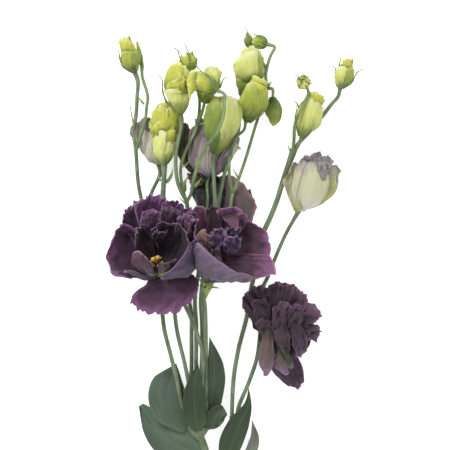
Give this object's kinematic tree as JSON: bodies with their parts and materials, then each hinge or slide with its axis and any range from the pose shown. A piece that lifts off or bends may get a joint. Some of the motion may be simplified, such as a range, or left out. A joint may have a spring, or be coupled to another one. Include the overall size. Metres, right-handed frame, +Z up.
{
  "type": "cut lisianthus stem",
  "caption": "Cut branching stem of double lisianthus, with open ruffled purple blooms, half-open pale flowers, green buds and bluish leaves, lying on its back as a loose floral piece.",
  "frame": {"origin": "centre of the bottom of the object's box, on the surface that the stem lies on", "axes": "+Y along the stem from the cut end to the top buds, +X across it, +Z up from the surface"},
  "size_m": [0.209, 0.4142, 0.0917],
  "materials": {
    "stem": "matte waxy skin",
    "leaf": "matte bluish bloom with paler veins",
    "bud": "soft satin petal skin",
    "calyx": "matte",
    "purple_petal": "velvety, paler at the ruffled rim",
    "pale_petal": "soft satin with lilac ruffles",
    "stamen": "powdery"
  },
  "bodies": {
    "root": {"bloom_left_calyx": "calyx", "bloom_left_inner_petals": "purple_petal", "bloom_left_lower_petal": "purple_petal", "bloom_left_outer_petals": "purple_petal", "bloom_left_stamens": "stamen", "bloom_nodding_calyx": "calyx", "bloom_nodding_inner_petals": "purple_petal", "bloom_nodding_lower_petal": "purple_petal", "bloom_nodding_outer_petals": "purple_petal", "bloom_rear_calyx": "calyx", "bloom_rear_inner_petals": "purple_petal", "bloom_rear_outer_petals": "purple_petal", "bloom_right_calyx": "calyx", "bloom_right_inner_petals": "purple_petal", "bloom_right_outer_petals": "purple_petal", "bud_behind_nodding": "bud", "bud_drooping": "bud", "bud_far_right": "bud", "bud_large_centre": "bud", "bud_large_left": "bud", "bud_nodding": "bud", "bud_right_front": "bud", "bud_right_leaning": "bud", "bud_small_top": "bud", "bud_star": "bud", "bud_tip_pointed": "bud", "bud_tip_round": "bud", "bud_top_left": "bud", "bud_top_left_slim": "bud", "bud_upper_left": "bud", "bud_upper_right": "bud", "leaf_centre": "leaf", "leaf_curled": "leaf", "leaf_low_left": "leaf", "leaf_low_right": "leaf", "leaf_right": "leaf", "leaf_round_left": "leaf", "leaf_upper_right": "leaf", "main_stem": "stem", "pale_flower_centre_calyx": "calyx", "pale_flower_centre_petals": "pale_petal", "pale_flower_left_calyx": "calyx", "pale_flower_left_petals": "pale_petal", "pale_flower_right_calyx": "calyx", "pale_flower_right_petals": "pale_petal", "stem_bloom_left": "stem", "stem_bloom_right": "stem", "stem_large_centre": "stem", "stem_pale_left": "stem", "stem_pale_right": "stem", "stem_right": "stem", "stem_top_left": "stem", "stem_upper_left": "stem", "stem_upper_right": "stem"}
  },
  "joints": []
}
